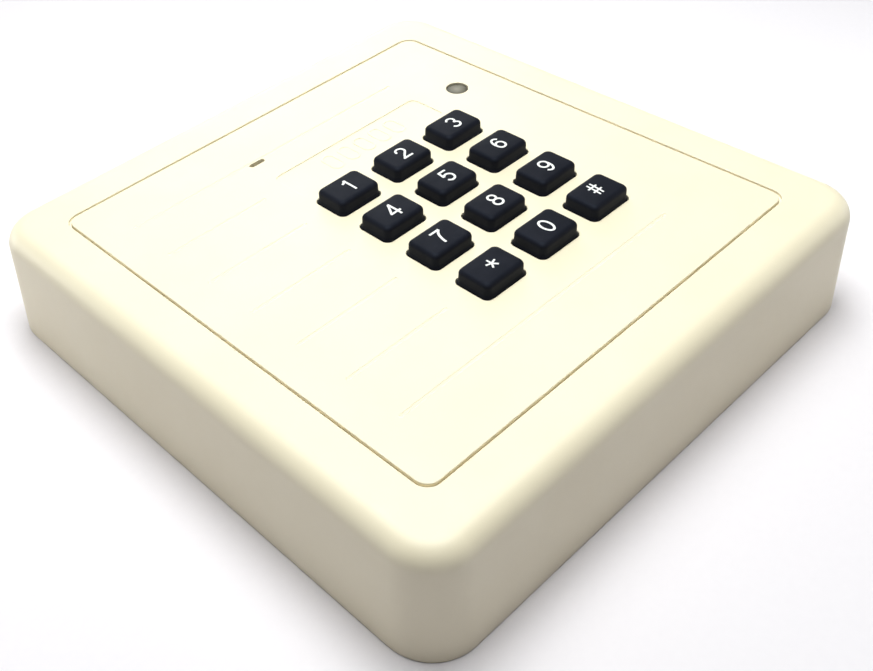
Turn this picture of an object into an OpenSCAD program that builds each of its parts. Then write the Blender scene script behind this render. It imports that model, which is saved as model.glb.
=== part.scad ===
// Keypad access reader: a square wall housing whose front panel carries a
// twelve-key keypad, a status lens and a beeper, and lifts off its base.
// Millimetres. The reader lies on its back, with the origin at the middle of
// the back: +X runs along a row of keys, +Y up the face, +Z out of the face.

/* [Housing] */
// Side of the square housing, measured at its back
face_size = 127; // [124:0.5:132]
// Depth of the housing, from its back to its face
depth = 25.4; // [25.2:0.1:27]
// Radius of the four upright corners
corner_r = 10; // [8:0.5:11]
// Lean of the side walls, in degrees
draft = 2.5; // [1:0.5:3]
// Radius that rounds the front edge
edge_r = 4.2; // [3:0.1:4.4]
// Thickness of the side walls
wall = 2.5; // [2:0.1:2.7]

/* [Front panel] */
// Side of the square front panel
panel_size = 101.7; // [100:0.1:102]
// Thickness of the front panel
panel_t = 3; // [2.8:0.1:3.2]
// Corner radius of the front panel
panel_r = 2.7; // [2:0.1:4]
// Gap between the front panel and the housing, on each side
panel_gap = 0.55; // [0.3:0.05:0.8]
// Width of the shallow lines moulded into the panel
line_w = 0.5; // [0.4:0.1:0.8]
// Depth of those lines
line_depth = 0.25; // [0.2:0.05:0.5]
// Depth of the label field above the keys
label_depth = 0.3; // [0.2:0.05:0.6]

/* [Keypad] */
// Width of a key at its foot
key_w = 11.3; // [11:0.1:12.3]
// Height of a key at its foot, up the face
key_d = 8.3; // [8:0.1:9]
// Corner radius of a key's foot
key_r = 1.3; // [1:0.1:2]
// Distance between keys along a row
key_pitch_x = 15.8; // [15.4:0.1:16.2]
// Distance between rows of keys
key_pitch_y = 12.65; // [12.2:0.05:13]
// How far a key stands out of the panel
key_rise = 3.05; // [2.5:0.05:4]
// How far up a key its flared foot reaches, from the panel's face
foot_rise = 0.6; // [0.5:0.05:1.2]
// How far a key's upright sides are set in from its foot
key_inset = 0.25; // [0.2:0.05:0.6]
// Gap round a key in the panel, on each side
key_gap = 0.2; // [0.15:0.05:0.3]
// How far a key can be pressed
key_travel = 0.9; // [0.7:0.05:0.95]

/* [Back] */
// Distance between the two mounting slots, one gang of a wall box
slot_spacing = 83.3; // [83:0.1:84]
// Width of a mounting slot
slot_w = 4.2; // [4:0.1:4.6]
// Length of a mounting slot, end to end
slot_length = 8; // [7:0.5:9]
// Radius of the cable entry
entry_r = 9.5; // [8:0.5:10]
// Thickness of the back plate
back_t = 2.5; // [2.2:0.1:3]

/* [Hidden] */
$fn = 48;

// The keys in reading order, three to a row
KEYS = ["1", "2", "3", "4", "5", "6", "7", "8", "9", "star", "0", "hash"];
SWITCHES = [0:3];

// Levels, from the back to the face
seal_top = back_t + 1.2;
main_low = 8;
main_top = main_low + 1.6;
seat = depth - panel_t;             // the panel rests here
mat_low = seat - 1.4;
pad_board_low = mat_low - 1.6;
foot_top = depth + foot_rise;
key_low = seat - 0.1;
key_top = depth + key_rise;
pill_low = key_low - 0.3;
cut = 1;                            // how far a cut runs past a face

// Shell
half = face_size / 2;
corner_at = half - corner_r;        // centre of a corner's radius
window = panel_size + 2 * panel_gap;
ledge_t = 2;
ledge_inner = 49.6;                 // half the opening inside the ledge
ledge_outer = 53.4;
rib_inner = 58.8;
boss_at = 54;
boss_r = 3.5;
web_t = 1.6;
web_reach = 7.2;
peg_at = [30, 48];
peg_r = 1.5;
peg_length = 6;
peg_clearance = 0.05;
lug_r = 3.2;
lug_low = 14.5;

// Screws
back_screw_r = 1.25;
back_head_r = 2.75;
board_screw_r = 1.1;
board_head_r = 2.2;
panel_screw_r = 1;
panel_head_r = 2;
screw_clearance = 0.05;

// Antenna
coil_outer = 58;
coil_inner = 51.5;
coil_corner_at = 33.5;
coil_low = back_t;
coil_top = 13;
bobbin_t = 1.2;
lead_y = [6, 10];

// Main board
main_half = [46, 35];
board_post_at = [42, 31];
notch_half = 12;
notch_top = -12;
entry_at = [0, -24];
pin_pitch = 2.54;
pin_count = 12;
header_at = [40, -5];
socket_h = 7;
terminal_count = 10;
terminal_pitch = 5.08;
terminal_size = [terminal_count * terminal_pitch, 8, 7.6];
terminal_y = -7;
tamper_at = [-38, 20];
plunger_r = 1.2;
plunger_top = 15.1;
dip_at = [-32, -22];
dip_size = [11, 6.5, 3.2];
dip_slot = [1.3, 2.7, 1.2];
dip_slider = [1.2, 1.6, 1.8];
dip_on = [false, true, false, false];

// Front panel
keypad_at = [9.65 - key_pitch_x, 13];    // centre of the first key
lens_at = [40.65, 25.4];
lens_r = 2.45;
beeper_at = [-10.6, 37.2];
beeper_r = 6;
beeper_slot = [3.9, 1.3];
line_left = -43;
short_line_right = -18;
long_line_right = 31;
short_lines_y = [25.6, 12.95, 0.4, -12.2, -24.8];
long_lines_y = [38, -37.2];
label_low = [-12, 20];
label_high = [30.5, 29.9];
label_rings_at = [10.2, 25.2];
label_ring = [3.4, 6];
label_ring_pitch = 4.7;
pad_board_low_at = [-21, -37];
pad_board_high_at = [47, 44.5];
panel_bosses = [[-17.6, 24], [-17.6, -6], [-17.6, -34], [36.8, -34], [44, 14], [36, 41]];

function arc(cx, cy, r, from, to, n) =
    [for (i = [0:n]) let (a = from + (to - from) * i / n) [cx + r * cos(a), cy + r * sin(a)]];

// Outline of a w by d rectangle with round corners
function round_rect(w, d, r, n = 6) =
    [for (q = [[1, 1, 0], [-1, 1, 90], [-1, -1, 180], [1, -1, 270]])
        each arc(q[0] * (w / 2 - r), q[1] * (d / 2 - r), r, q[2], q[2] + 90, n)];

// Side of a drafted wall with a rounded front edge, out from a corner's centre
function wall_profile(reach, low, high, r) =
    let (z = high - r, x = reach - tan(draft) * z - r / cos(draft))
    concat([[0, low], [reach - tan(draft) * low, low]], arc(x, z, r, draft, 90, 10), [[0, high]]);

function key_at(i) = keypad_at + [(i % 3) * key_pitch_x, -floor(i / 3) * key_pitch_y];

module plate(w, d, h, r) linear_extrude(h) polygon(round_rect(w, d, r));

module at_corners(p) for (x = [-1, 1], y = [-1, 1]) translate([x * p[0], y * p[1], 0]) children();

module at_each(points) for (p = points) translate([p[0], p[1], 0]) children();

// A square ring between two rounded squares that share their corners' centres
module square_ring(outer, inner, centre, low, high) translate([0, 0, low]) difference() {
    plate(2 * outer, 2 * outer, high - low, outer - centre);
    translate([0, 0, -cut]) plate(2 * inner, 2 * inner, high - low + 2 * cut, inner - centre);
}

// A drafted square block with round corners and a rounded front edge
module domed_block(reach, low, high, r) {
    profile = wall_profile(reach, low, high, r);
    translate([-corner_at, -corner_at, low]) cube([2 * corner_at, 2 * corner_at, high - low]);
    for (turn = [0:90:270]) rotate(turn) translate([corner_at, corner_at, 0]) {
        rotate_extrude(angle = 90) polygon(profile);
        rotate([90, 0, 0]) linear_extrude(2 * corner_at) polygon(profile);
    }
}

// A screw that points up, with its head's underside at z = 0
module screw(r, length, head_r, head_h) {
    cylinder(r = r, h = length);
    difference() {
        translate([0, 0, -head_h]) cylinder(r = head_r, h = head_h);
        for (turn = [0, 90]) rotate(turn) translate([-head_r * 0.6, -0.25, -head_h - cut])
            cube([head_r * 1.2, 0.5, head_h * 0.5 + cut]);
    }
}

/* Housing */

module housing_shell() color("ivory") difference() {
    union() {
        difference() {
            union() {
                difference() {
                    domed_block(corner_r, 0, depth, edge_r);
                    domed_block(corner_r - wall, -cut, seat, 2);
                }
                translate([0, 0, seat - ledge_t])
                    plate(2 * ledge_outer, 2 * ledge_outer, ledge_t + 1, 4);
            }
            translate([0, 0, seat - ledge_t - cut])
                plate(2 * ledge_inner, 2 * ledge_inner, panel_t + ledge_t + 2 * cut, 2);
            translate([0, 0, seat]) plate(window, window, panel_t + cut, panel_r + panel_gap);
        }
        square_ring(half - 1.5, rib_inner, corner_at, seal_top, seal_top + 1.5);
        at_corners(peg_at) translate([0, 0, lug_low]) cylinder(r = lug_r, h = seat - 0.2 - lug_low);
        at_corners([boss_at, boss_at]) translate([0, 0, back_t])
            cylinder(r = boss_r, h = seat - back_t + 0.5);
        for (turn = [0:90:270]) rotate(turn) translate([boss_at, boss_at, seal_top + 0.7]) rotate(45)
            translate([0, -web_t / 2, 0]) cube([web_reach, web_t, seat - seal_top]);
    }
    at_corners(peg_at) translate([0, 0, seat - peg_length - 0.4])
        cylinder(r = peg_r + peg_clearance, h = peg_length + cut);
    at_corners([boss_at, boss_at]) translate([0, 0, back_t - cut])
        cylinder(r = back_screw_r + screw_clearance, h = 11.5);
}

module back_plate() color("ivory") difference() {
    union() {
        plate(2 * (half - wall - 0.3), 2 * (half - wall - 0.3), back_t, corner_r - wall - 0.3);
        at_corners(board_post_at) cylinder(r = 3, h = main_low);
        translate([entry_at[0], entry_at[1], 0]) cylinder(r = entry_r + 1.5, h = back_t + 1.2);
    }
    for (y = [-1, 1] * slot_spacing / 2) translate([0, y, -cut]) {
        for (end = [-1, 1] * (slot_length - slot_w) / 2) translate([0, end, 0])
            cylinder(r = slot_w / 2, h = back_t + 2 * cut);
        translate([-slot_w / 2, (slot_w - slot_length) / 2, 0])
            cube([slot_w, slot_length - slot_w, back_t + 2 * cut]);
    }
    translate([entry_at[0], entry_at[1], -cut]) cylinder(r = entry_r, h = back_t + 4);
    at_corners([boss_at, boss_at]) translate([0, 0, -cut]) {
        cylinder(r = back_screw_r + 0.15, h = back_t + 2 * cut);
        cylinder(r = back_head_r + 0.35, h = 1.5 + cut);
    }
    at_corners(board_post_at) translate([0, 0, back_t + 0.5])
        cylinder(r = board_screw_r + screw_clearance, h = main_low);
}

module back_plate_screws() color("silver")
    at_corners([boss_at, boss_at]) translate([0, 0, 1.5]) screw(back_screw_r, 10, back_head_r, 1.3);

module rear_seal() color("dimgray")
    square_ring(rib_inner + 1.8, rib_inner + 0.1, corner_at, back_t, seal_top);

/* Antenna */

module coil_bobbin() color("gainsboro") difference() {
    union() {
        square_ring(coil_outer, coil_inner, coil_corner_at, coil_low, coil_low + bobbin_t);
        square_ring(coil_outer, coil_inner, coil_corner_at, coil_top - bobbin_t, coil_top);
        square_ring(coil_inner + bobbin_t, coil_inner, coil_corner_at, coil_low, coil_top);
    }
    translate([-coil_outer - cut, lead_y[0] - 1, coil_low + bobbin_t + 3])
        cube([coil_outer - coil_inner + 2 * cut, lead_y[1] - lead_y[0] + 2, coil_top]);
}

module antenna_coil() color("peru") {
    square_ring(coil_outer - 0.8, coil_inner + bobbin_t + 0.05, coil_corner_at,
        coil_low + bobbin_t + 0.05, coil_top - bobbin_t - 0.05);
    for (y = lead_y) translate([0, y, main_top]) {
        translate([-coil_inner - 2, 0, 0.8]) rotate([0, 90, 0]) cylinder(r = 0.35, h = 8.5);
        translate([-coil_inner + 6.5, 0, 0]) cylinder(r = 0.9, h = 1.3);
    }
}

/* Main board */

module main_board() color("seagreen") translate([0, 0, main_low]) difference() {
    plate(2 * main_half[0], 2 * main_half[1], main_top - main_low, 2);
    translate([-notch_half, -main_half[1] - cut, -cut])
        cube([2 * notch_half, notch_top + main_half[1] + cut, 4]);
    at_corners(board_post_at) translate([0, 0, -cut]) cylinder(r = board_screw_r + 0.2, h = 4);
}

module main_board_screws() color("silver")
    at_corners(board_post_at) translate([0, 0, main_top]) rotate([180, 0, 0])
        screw(board_screw_r, 5.5, board_head_r, 1.4);

module microcontroller() color("dimgray") translate([-2, 14, main_top]) {
    translate([-5, -5, 0.1]) cube([10, 10, 1.4]);
    for (turn = [0:90:270], i = [-5:5]) rotate(turn) translate([4.9, i * 0.8 - 0.18, 0])
        cube([1.5, 0.36, 0.5]);
}

module crystal() color("silver") translate([14, 14, main_top]) {
    plate(11, 4.6, 3.4, 2.2);
    plate(11.6, 5.2, 0.5, 2.5);
}

module voltage_regulator() color("dimgray") translate([26, 24, main_top]) {
    translate([-3.3, -3, 0]) cube([6.6, 6, 2.3]);
    translate([-2.7, 2.9, 0]) cube([5.4, 1.9, 0.5]);
    for (x = [-2.3, 0, 2.3]) translate([x - 0.35, -5.4, 0]) cube([0.7, 2.5, 0.6]);
}

module filter_capacitors() color("midnightblue")
    for (p = [[24, -22], [24, -30]]) translate([p[0], p[1], main_top]) {
        cylinder(r = 3.6, h = 0.8);
        translate([0, 0, 0.7]) cylinder(r = 3.4, h = 0.6);
        translate([0, 0, 1.2]) cylinder(r = 3.6, h = 6);
    }

module tuning_capacitors() color("firebrick")
    for (y = [-4, 2]) translate([-37, y, main_top]) plate(7.4, 2.8, 6, 0.6);

module small_components() color("darkgray") translate([0, 0, main_top]) {
    for (x = [-26:5:-11], y = [8:4:28]) translate([x, y, 0]) cube([2, 1.25, 0.6]);
    for (x = [10:5:20], y = [2, 22, 27]) translate([x, y, 0]) cube([1.25, 2, 0.7]);
    for (x = [16, 30], y = [-14.5]) translate([x, y, 0]) cube([4.4, 2.6, 2.2]);
}

module terminal_block() color("mediumseagreen") translate([0, terminal_y, main_top]) difference() {
    translate([-terminal_size[0] / 2, -terminal_size[1] / 2, 0]) cube(terminal_size);
    for (i = [0:terminal_count - 1]) translate([(i + 0.5) * terminal_pitch - terminal_size[0] / 2, 0, 0]) {
        translate([0, 0.6, terminal_size[2] - 2.4]) cylinder(r = 1.8, h = 4);
        translate([-1.5, -terminal_size[1] / 2 - cut, 1]) cube([3, 4 + cut, 3]);
    }
}

module terminal_screws() color("silver")
    for (i = [0:terminal_count - 1])
        translate([(i + 0.5) * terminal_pitch - terminal_size[0] / 2,
                   terminal_y + 0.6, main_top + terminal_size[2] - 2.4]) difference() {
            cylinder(r = 1.7, h = 1.6);
            translate([-2, -0.25, 1]) cube([4, 0.5, 1]);
        }

module dip_switch_body() color("firebrick") translate([dip_at[0], dip_at[1], main_top]) difference() {
    translate([-dip_size[0] / 2, -dip_size[1] / 2, 0]) cube(dip_size);
    for (s = SWITCHES) translate([(s - 1.5) * pin_pitch, 0, dip_size[2] - dip_slot[2] / 2 + cut / 2])
        cube([dip_slot[0], dip_slot[1], dip_slot[2] + cut], center = true);
}

// A slider rests against the end of its slot that its state names
module dip_slider_part(s) color("white")
    translate([dip_at[0] + (s - 1.5) * pin_pitch,
               dip_at[1] + (dip_on[s] ? 1 : -1) * ((dip_slot[1] - dip_slider[1]) / 2 - 0.05),
               main_top + dip_size[2] - dip_slot[2] + 0.05]) {
        translate([-dip_slider[0] / 2, -dip_slider[1] / 2, 0]) cube([dip_slider[0], dip_slider[1], 1.2]);
        translate([-dip_slider[0] / 2, -0.4, 1.1]) cube([dip_slider[0], 0.8, dip_slider[2] - 1.1]);
    }

module header_socket() color("dimgray") translate([header_at[0], header_at[1], main_top]) difference() {
    translate([-1.27, -pin_count * pin_pitch / 2, 0]) cube([2.54, pin_count * pin_pitch, socket_h]);
    for (i = [0:pin_count - 1]) translate([-0.5, (i + 0.5 - pin_count / 2) * pin_pitch - 0.5, 1])
        cube([1, 1, socket_h]);
}

module tamper_switch_body() color("dimgray") translate([tamper_at[0], tamper_at[1], main_top]) difference() {
    translate([-3, -3, 0]) cube([6, 6, 3.5]);
    translate([0, 0, 0.9]) cylinder(r = plunger_r + 0.05, h = 4);
}

module tamper_plunger() color("firebrick") translate([tamper_at[0], tamper_at[1], main_top + 1])
    cylinder(r = plunger_r, h = plunger_top - main_top - 1);

/* Front panel and what it carries */

module front_panel() color("ivory") difference() {
    union() {
        translate([0, 0, seat]) plate(panel_size, panel_size, panel_t, panel_r);
        at_corners(peg_at) translate([0, 0, seat - peg_length]) cylinder(r = peg_r, h = peg_length + 1);
        at_each(panel_bosses) translate([0, 0, mat_low]) cylinder(r = 2.4, h = seat - mat_low + 1);
        at_each([tamper_at]) translate([0, 0, plunger_top + 0.05])
            cylinder(r = 1.5, h = seat - plunger_top + 1);
    }
    at_each(panel_bosses) translate([0, 0, mat_low - cut])
        cylinder(r = panel_screw_r + screw_clearance, h = depth - 1.2 - mat_low + cut);
    for (i = [0:len(KEYS) - 1]) at_each([key_at(i)]) translate([0, 0, seat - cut])
        plate(key_w + 2 * key_gap, key_d + 2 * key_gap, panel_t + 2 * cut, key_r + key_gap);
    translate([lens_at[0], lens_at[1], seat - cut]) cylinder(r = lens_r + 0.1, h = panel_t + 2 * cut);
    translate([beeper_at[0], beeper_at[1], seat - cut])
        plate(beeper_slot[0], beeper_slot[1], panel_t + 2 * cut, 0.6);
    for (y = short_lines_y) moulded_line(short_line_right, y);
    for (y = long_lines_y) moulded_line(long_line_right, y);
    label_field();
}

// The sunk label field, with five plain raised rings where a maker's wording would stand
module label_field() translate([0, 0, depth - label_depth]) difference() {
    translate([(label_low[0] + label_high[0]) / 2, (label_low[1] + label_high[1]) / 2, 0])
        plate(label_high[0] - label_low[0], label_high[1] - label_low[1], label_depth + cut, 1.5);
    for (i = [-2:2]) translate([label_rings_at[0] + i * label_ring_pitch, label_rings_at[1], -cut])
        difference() {
            plate(label_ring[0], label_ring[1], label_depth - 0.1 + cut, label_ring[0] / 2 - 0.05);
            translate([0, 0, -cut]) plate(label_ring[0] - 1, label_ring[1] - 1, 1, label_ring[0] / 2 - 0.55);
        }
}

module moulded_line(right, y) translate([line_left, y - line_w / 2, depth - line_depth])
    cube([right - line_left, line_w, line_depth + cut]);

// The mat frames each key; its thin webs are left out so that each key moves alone
module keypad_mat() color("dimgray") difference() {
    middle = (key_at(0) + key_at(11)) / 2;
    translate([middle[0], middle[1], mat_low])
        plate(2 * key_pitch_x + key_w + 4.3, 3 * key_pitch_y + key_d + 4.3, seat - mat_low, 2);
    for (i = [0:len(KEYS) - 1]) at_each([key_at(i)]) {
        translate([0, 0, mat_low - cut]) plate(key_w + 2.2, key_d + 2.2, 1 + cut, key_r + 1);
        translate([0, 0, mat_low]) plate(key_w + 0.3, key_d + 0.3, 3, key_r + 0.15);
    }
}

// One stage of a key between [height, inset] levels
module key_stage(levels) hull() for (level = levels) translate([0, 0, level[0]])
    plate(key_w - 2 * level[1], key_d - 2 * level[1], 0.05, key_r - 0.2 * level[1]);

module key(i) color("dimgray") at_each([key_at(i)]) {
    translate([0, 0, key_low]) plate(key_w, key_d, depth + 0.05 - key_low, key_r);
    key_stage([[depth, 0.1], [foot_top - 0.05, key_inset]]);
    key_stage([[foot_top - 0.1, key_inset], [key_top - 0.85, key_inset + 0.05],
               [key_top - 0.35, key_inset + 0.27], [key_top - 0.05, key_inset + 0.85]]);
}

module contact_pill(i) color("black") at_each([key_at(i)])
    translate([0, 0, pill_low]) cylinder(r = 2.2, h = key_low - pill_low);

module keypad_board() color("seagreen") difference() {
    size = pad_board_high_at - pad_board_low_at;
    middle = (pad_board_high_at + pad_board_low_at) / 2;
    translate([middle[0], middle[1], pad_board_low])
        plate(size[0], size[1], mat_low - pad_board_low, 2);
    at_each(panel_bosses) translate([0, 0, pad_board_low - cut]) cylinder(r = panel_screw_r + 0.2, h = 4);
    translate([beeper_at[0], beeper_at[1], pad_board_low - cut])
        plate(beeper_slot[0] + 1, beeper_slot[1] + 1, 4, 0.6);
}

module keypad_contacts() color("gold")
    for (i = [0:len(KEYS) - 1]) at_each([key_at(i)]) for (side = [-1, 1])
        translate([side * 1.35 - 1.1, -2.2, mat_low]) cube([2.2, 4.4, 0.05]);

module panel_screws() color("silver")
    at_each(panel_bosses) translate([0, 0, pad_board_low])
        screw(panel_screw_r, depth - 1.4 - pad_board_low, panel_head_r, 1.2);

module board_header() color("dimgray") at_each([header_at]) {
    translate([-1.27, -pin_count * pin_pitch / 2, pad_board_low - 2.5])
        cube([2.54, pin_count * pin_pitch, 2.5]);
    for (i = [0:pin_count - 1]) translate([-0.32, (i + 0.5 - pin_count / 2) * pin_pitch - 0.32, 11.5])
        cube([0.64, 0.64, pad_board_low - 12]);
}

module beeper() color("black") translate([beeper_at[0], beeper_at[1], pad_board_low - 5]) difference() {
    cylinder(r = beeper_r, h = 5);
    translate([0, 0, 3.8]) cylinder(r = 1.2, h = 2);
}

module status_led() color("white") translate([lens_at[0], lens_at[1], mat_low]) {
    translate([-1.6, -1.4, 0]) cube([3.2, 2.8, 0.6]);
    cylinder(r = 1.1, h = 0.8);
}

module status_lens() color("gray") translate([lens_at[0], lens_at[1], 0]) {
    translate([0, 0, seat - 0.5]) cylinder(r = lens_r + 0.95, h = 0.5);
    translate([0, 0, seat - 0.2]) cylinder(r = lens_r, h = panel_t - 0.05);
}

housing_shell();
back_plate();
back_plate_screws();
rear_seal();
coil_bobbin();
antenna_coil();
main_board();
main_board_screws();
microcontroller();
crystal();
voltage_regulator();
filter_capacitors();
tuning_capacitors();
small_components();
terminal_block();
terminal_screws();
dip_switch_body();
header_socket();
tamper_switch_body();
tamper_plunger();
front_panel();
keypad_mat();
keypad_board();
keypad_contacts();
panel_screws();
board_header();
beeper();
status_led();
status_lens();
for (s = SWITCHES) dip_slider_part(s);
for (i = [0:len(KEYS) - 1]) key(i);
for (i = [0:len(KEYS) - 1]) contact_pill(i);
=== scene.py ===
"""Looks of the keypad access reader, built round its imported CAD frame.

Shapes and bumps are given in millimetres and made in metres; lights and the scale of noise are in metres.
"""

import math
import random

import bmesh
import bpy
from mathutils import Matrix, Vector


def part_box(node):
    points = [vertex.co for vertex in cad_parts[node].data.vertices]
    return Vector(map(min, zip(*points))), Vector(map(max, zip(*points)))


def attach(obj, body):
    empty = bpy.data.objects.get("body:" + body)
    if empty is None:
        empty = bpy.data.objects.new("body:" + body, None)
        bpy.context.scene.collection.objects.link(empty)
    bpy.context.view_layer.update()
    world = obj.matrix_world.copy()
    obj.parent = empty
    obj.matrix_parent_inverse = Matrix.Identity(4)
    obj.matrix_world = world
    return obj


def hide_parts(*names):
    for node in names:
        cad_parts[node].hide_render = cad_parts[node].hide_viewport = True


random.seed(11)
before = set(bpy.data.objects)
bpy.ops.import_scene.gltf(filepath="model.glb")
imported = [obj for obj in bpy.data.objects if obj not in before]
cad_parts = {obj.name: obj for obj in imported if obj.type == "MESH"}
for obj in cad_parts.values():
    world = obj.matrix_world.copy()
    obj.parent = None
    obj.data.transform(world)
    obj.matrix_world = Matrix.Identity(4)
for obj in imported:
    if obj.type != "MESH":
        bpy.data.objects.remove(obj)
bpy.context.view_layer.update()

MM = 0.001
KEYS = ("1", "2", "3", "4", "5", "6", "7", "8", "9", "star", "0", "hash")


def mm_box(node):
    """Lowest and highest corner of a CAD node, in millimetres."""
    low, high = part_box(node)
    return low / MM, high / MM


def plan(low, high):
    """Middle and half size of a box, seen from above."""
    return [tuple((high[i] + sign * low[i]) / 2 for i in (0, 1)) for sign in (1, -1)]


def grown(half, by):
    return half[0] + by, half[1] + by


def spot(node):
    """Middle of a CAD node, seen from above."""
    return plan(*mm_box(node))[0]


def corners(x, y):
    return [(sx * x, sy * y) for sx in (-1, 1) for sy in (-1, 1)]


# ---------------- meshes

def arc(centre, r, start, end, steps):
    """Points on an arc in a plane, from one angle in degrees to another, both ends included."""
    rx, ry = r if isinstance(r, tuple) else (r, r)
    angles = [math.radians(start + (end - start) * i / steps) for i in range(steps + 1)]
    return [(centre[0] + rx * math.cos(a), centre[1] + ry * math.sin(a)) for a in angles]


def ring(centre, half, r, z, steps=8):
    """A rounded rectangle of points at height z, counterclockwise seen from above."""
    points = []
    for quarter, (sx, sy) in enumerate(((1, 1), (-1, 1), (-1, -1), (1, -1))):
        corner = (centre[0] + sx * (half[0] - r), centre[1] + sy * (half[1] - r))
        points += [(x, y, z) for x, y in arc(corner, r, 90 * quarter, 90 * quarter + 90, steps)]
    return points


def stack(centre, half, r, profile, steps=8):
    """Rounded rectangles drawn in from half by the inset of each (inset, z)."""
    return [ring(centre, grown(half, -d), r - d, z, steps) for d, z in profile]


def circle(centre, r, z, steps=48):
    return [(x, y, z) for x, y in arc(centre, r, 0, 360, steps)[:-1]]


def loft(rings, closed=False):
    """A skin over rings of equally many points, capped at both ends or closed from last to first."""
    count = len(rings[0])
    vertices = [p for points in rings for p in points]
    faces = []
    for i in range(len(rings) if closed else len(rings) - 1):
        a, b = i * count, (i + 1) % len(rings) * count
        faces += [(a + k, a + (k + 1) % count, b + (k + 1) % count, b + k) for k in range(count)]
    if not closed:
        faces.append(tuple(reversed(range(count))))
        faces.append(tuple(range(len(vertices) - count, len(vertices))))
    return vertices, faces


def tube(path, r, steps=10):
    """A round tube with flat ends along a path of points."""
    path = [Vector(p) for p in path]
    rings, side = [], None
    for i, point in enumerate(path):
        along = (path[min(i + 1, len(path) - 1)] - path[max(i - 1, 0)]).normalized()
        side = along.orthogonal() if side is None else side - side.dot(along) * along
        side.normalize()
        other = along.cross(side)
        rings.append([tuple(point + r * (math.cos(t) * side + math.sin(t) * other))
                      for t in [2 * math.pi * k / steps for k in range(steps)]])
    return loft(rings)


def lathe(profile, centre=(0, 0), steps=48):
    """A turned solid from (radius, z) points that start and end off the axis, capped flat there."""
    return loft([circle(centre, r, z, steps) for r, z in profile])


def above(z, *rows):
    """Profile points from rows of (radius or inset, height above z)."""
    return [(r, z + h) for r, h in rows]


def turnings(profile, places, steps=48):
    return [lathe(profile, p, steps) for p in places]


def annulus(at, inner, outer, z, thick=0.05, steps=24):
    outline = ((inner, z), (outer, z), (outer, z + thick), (inner, z + thick))
    return loft([circle(at, r, h, steps) for r, h in outline], closed=True)


def quarter(steps=4):
    """(1 - cos, 1 - sin) round a quarter circle: from a wall's side to its top."""
    return [(1 - math.cos(a), 1 - math.sin(a)) for a in [math.pi / 2 * i / steps for i in range(steps + 1)]]


def edge_rings(centre, half, corner_r, z, r, steps=4):
    """Rings that turn an upright wall into a flat top round an edge of radius r, from height z up."""
    return [ring(centre, grown(half, -r * x), max(corner_r - r * x, 0.01), z + r * (1 - y),
                 8 if steps > 2 else steps) for x, y in quarter(steps)]


def board(centre, half, low, high):
    """A circuit board's plate with slightly broken edges."""
    return loft(stack(centre, half, 2, [(0.05, low), (0, low + 0.05), (0, high - 0.05), (0.05, high)]))


def box_at(centre, half, low, high, r=0.1):
    """A box from height low to high with softly rounded upper edges and upright corners."""
    return loft([ring(centre, half, r, low, 2)] + edge_rings(centre, half, r * 1.01, high - r, r, 2))


def block(low, high, r=0.1):
    """The same between two corners."""
    return box_at(*plan(low, high), low[2], high[2], r)


def lip_rings(centre, half, r, edge, lip, steps=8, way=1):
    """Rings of a cutter that widens round a rim's radius, upward (way 1) or downward past its edge."""
    profile = [(-lip * x, edge - way * lip * y) for x, y in quarter()]
    return stack(centre, half, r, profile + [(-lip - 0.4, edge + 0.4 * way)], steps)


def turned(outline, at, turn):
    """Points of a flat outline, turned about the origin and moved to a place."""
    c, s = math.cos(turn), math.sin(turn)
    return [(at[0] + x * c - y * s, at[1] + x * s + y * c) for x, y in outline]


def joined(*parts):
    vertices, faces = [], []
    for v, f in parts:
        start = len(vertices)
        vertices += v
        faces += [tuple(start + k for k in face) for face in f]
    return vertices, faces


def new_object(name, shape, material=None, smooth_angle=38):
    """A mesh object from millimetres, with outward normals and smooth shading up to an angle."""
    vertices, faces = shape
    mesh = bpy.data.meshes.new(name)
    mesh.from_pydata([Vector(v) * MM for v in vertices], [], faces)
    bm = bmesh.new()
    bm.from_mesh(mesh)
    bmesh.ops.recalc_face_normals(bm, faces=bm.faces)
    bm.to_mesh(mesh)
    bm.free()
    mesh.shade_smooth()
    mesh.set_sharp_from_angle(angle=math.radians(smooth_angle))
    obj = bpy.data.objects.new(name, mesh)
    bpy.context.scene.collection.objects.link(obj)
    if material:
        mesh.materials.append(material)
    return obj


def carve(obj, cutter_shape, operation="DIFFERENCE"):
    """Cuts a shape out of an object, or joins it on, and keeps the result as the object's own mesh."""
    cutter = new_object("cutter", cutter_shape)
    modifier = obj.modifiers.new("carve", "BOOLEAN")
    modifier.operation = operation
    modifier.solver = "EXACT"
    modifier.object = cutter
    evaluated = obj.evaluated_get(bpy.context.evaluated_depsgraph_get())
    old, obj.data = obj.data, bpy.data.meshes.new_from_object(evaluated)
    obj.modifiers.clear()
    cutter_mesh = cutter.data
    bpy.data.objects.remove(cutter)
    for mesh in (old, cutter_mesh):
        bpy.data.meshes.remove(mesh)


def place(obj, body, slot, *nodes):
    """Hangs a piece on the body that it rides on and hides the CAD nodes that it stands for; its slot is not
    used.
    """
    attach(obj, body)
    if nodes:
        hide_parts(*nodes)


def show(name, shapes, material, slot, *nodes, body="housing", angle=38):
    """A piece made of plain shapes that needs no cutting."""
    place(new_object(name, joined(*shapes), material, angle), body, slot, *nodes)


def piece(name, shape, material, slot, *nodes, body="housing", adds=(), cuts=(), angle=38):
    """A finished piece: its shape or object, what is joined on, what is cut away, its look and place."""
    obj = shape if isinstance(shape, bpy.types.Object) else new_object(name, shape)
    if adds:
        carve(obj, joined(*adds), "UNION")
    if cuts:
        carve(obj, joined(*cuts))
    obj.data.materials.clear()
    obj.data.materials.append(material)
    obj.data.shade_smooth()
    obj.data.set_sharp_from_angle(angle=math.radians(angle))
    modifier = obj.modifiers.new("face normals", "WEIGHTED_NORMAL")
    modifier.keep_sharp = True
    modifier.weight = 80
    place(obj, body, slot, *nodes)


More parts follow.
